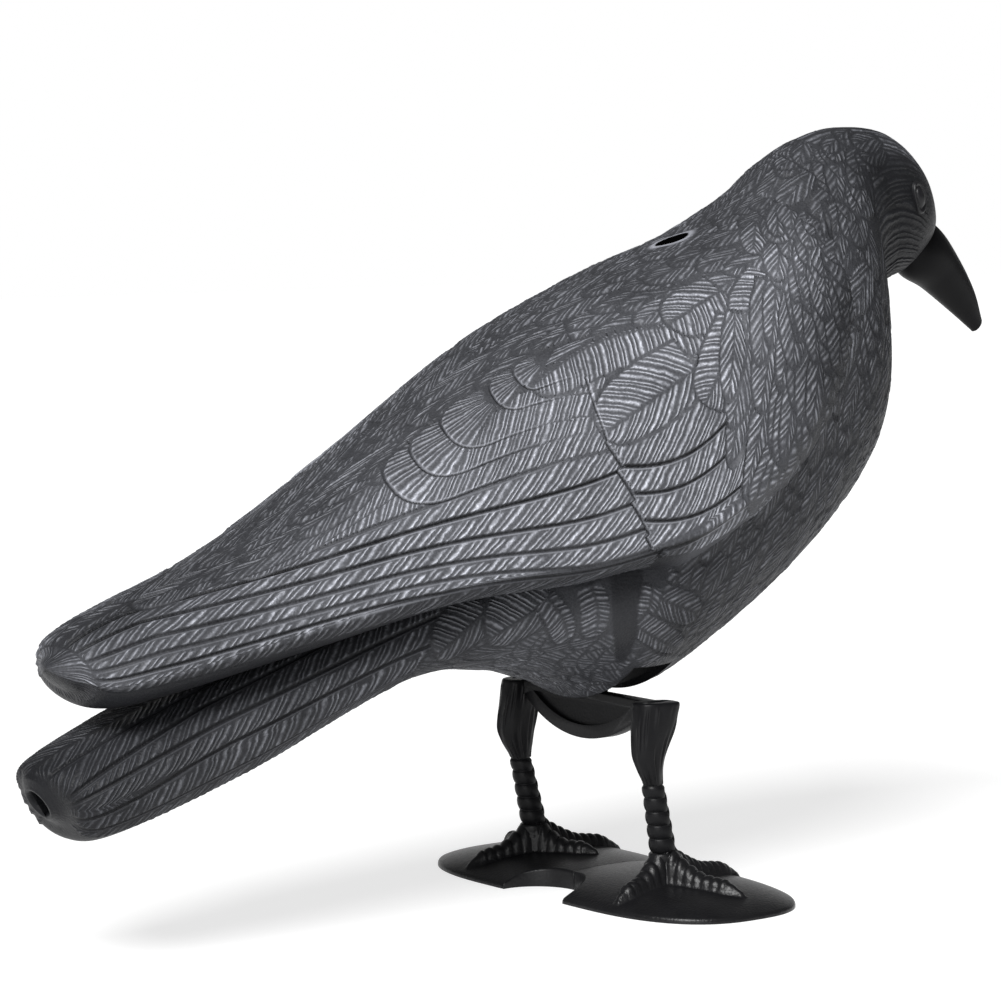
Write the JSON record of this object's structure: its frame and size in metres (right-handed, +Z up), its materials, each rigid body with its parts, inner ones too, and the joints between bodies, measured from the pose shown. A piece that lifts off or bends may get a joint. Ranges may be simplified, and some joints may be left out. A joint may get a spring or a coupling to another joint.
{
  "type": "crow decoy",
  "caption": "Life-size moulded crow decoy in matte black plastic, standing on ringed legs with toes on a low two-lobed base",
  "frame": {"origin": "middle of the base's underside, on the plane that the decoy stands on", "axes": "+X towards the beak, +Y to the bird's left, +Z up"},
  "size_m": [0.3965, 0.148, 0.2532],
  "materials": {
    "feather_plastic": "matte charcoal black blow-moulded plastic, worn lighter along the raised feather relief",
    "bracket_plastic": "fine-grained satin black moulded plastic",
    "base_plastic": "leathery-grained satin black moulded plastic"
  },
  "bodies": {
    "root": {"crow_body": "feather_plastic", "leg_bracket": "bracket_plastic", "base_plate": "base_plastic"}
  },
  "joints": []
}
